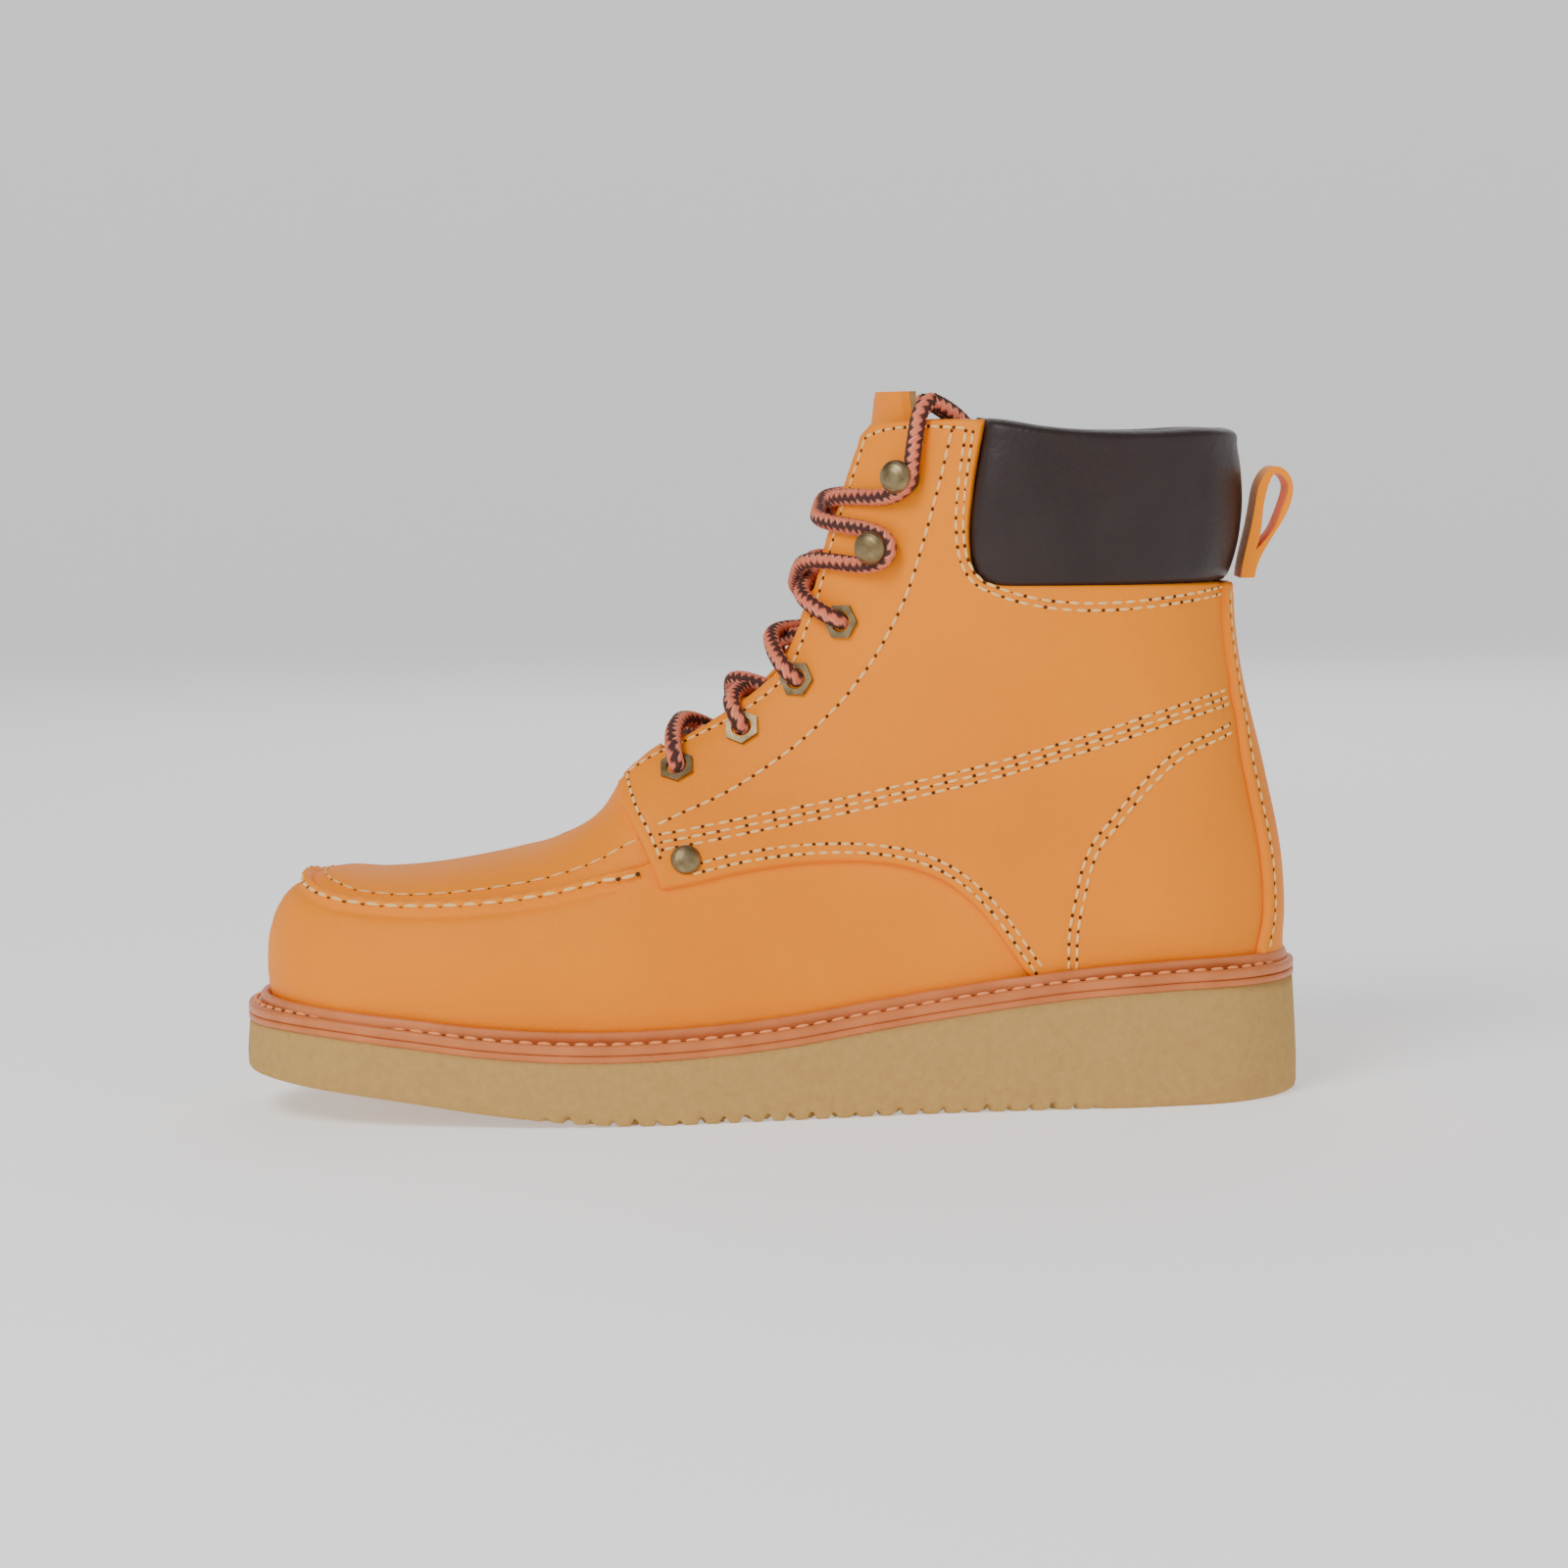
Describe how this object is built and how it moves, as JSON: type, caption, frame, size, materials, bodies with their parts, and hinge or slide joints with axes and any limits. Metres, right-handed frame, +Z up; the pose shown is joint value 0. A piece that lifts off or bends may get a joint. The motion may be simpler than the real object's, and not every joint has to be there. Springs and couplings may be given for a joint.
{
  "type": "steel toe work boot",
  "caption": "Left lace-up work boot, moc toe over a steel cap, padded collar, eyelets and speed hooks, wedge sole.",
  "frame": {"origin": "under the middle of the boot, on the ground", "axes": "+X to the heel, -X to the toe, -Y to the outer (lateral) side of this left boot, +Z up"},
  "size_m": [0.306, 0.1062, 0.204],
  "materials": {
    "sole_crepe": "matt, fine crepe grain",
    "welt_rubber": "satin",
    "cork": "matt granules",
    "steel": "satin",
    "fibre_board": "matt",
    "upper_leather": "smooth full-grain, satin",
    "bumper_rubber": "matt",
    "lining_fabric": "woven mesh",
    "reinforcement_fabric": "woven",
    "counter_board": "matt",
    "foam": "open-cell foam",
    "collar_leather": "smooth, soft creases",
    "antique_brass": "antique, satin",
    "lace_braid": "round braid, zigzag of two colours",
    "aglet_plastic": "gloss"
  },
  "bodies": {
    "boot": {"outsole": "sole_crepe", "midsole": "welt_rubber", "storm_welt": "welt_rubber", "welt_bead": "welt_rubber", "cork_filler": "cork", "steel_shank": "steel", "insole_board": "fibre_board", "vamp": "upper_leather", "apron": "upper_leather", "steel_toe_cap": "steel", "toe_cap_bumper": "bumper_rubber", "vamp_lining": "lining_fabric", "quarter_lateral": "upper_leather", "quarter_medial": "upper_leather", "facing_reinforcement_lateral": "reinforcement_fabric", "facing_reinforcement_medial": "reinforcement_fabric", "heel_counter": "counter_board", "shaft_lining": "lining_fabric", "collar_foam": "foam", "collar_cover": "collar_leather", "backstay": "upper_leather", "eyelets_lateral": "antique_brass", "eyelets_medial": "antique_brass", "speed_hooks_lateral": "antique_brass", "speed_hooks_medial": "antique_brass", "rivet_lateral": "antique_brass", "rivet_medial": "antique_brass", "lace": "lace_braid", "lace_tail_lateral": "lace_braid", "lace_tail_medial": "lace_braid", "aglet_lateral": "aglet_plastic", "aglet_medial": "aglet_plastic"},
    "tongue": {"tongue_leather": "upper_leather", "tongue_lining": "lining_fabric"},
    "footbed": {"footbed_foam": "foam", "footbed_cover": "lining_fabric"},
    "pull_loop": {"pull_loop": "upper_leather"}
  },
  "joints": [
    {"name": "tongue_tilt", "type": "hinge", "parent": "boot", "child": "tongue", "pos_m": [-0.038, 0, 0.09], "axis": [0, 1, 0], "range_deg": [0, 7], "stiffness_Nm_per_rad": 0.3},
    {"name": "footbed_lift", "type": "hinge", "parent": "boot", "child": "footbed", "pos_m": [-0.136, 0, 0.034], "axis": [0, -1, 0], "range_deg": [0, 4]},
    {"name": "pull_loop_flex", "type": "hinge", "parent": "boot", "child": "pull_loop", "pos_m": [0.1395, 0, 0.1486], "axis": [0, 1, 0], "range_deg": [0, 35], "stiffness_Nm_per_rad": 0.02}
  ]
}
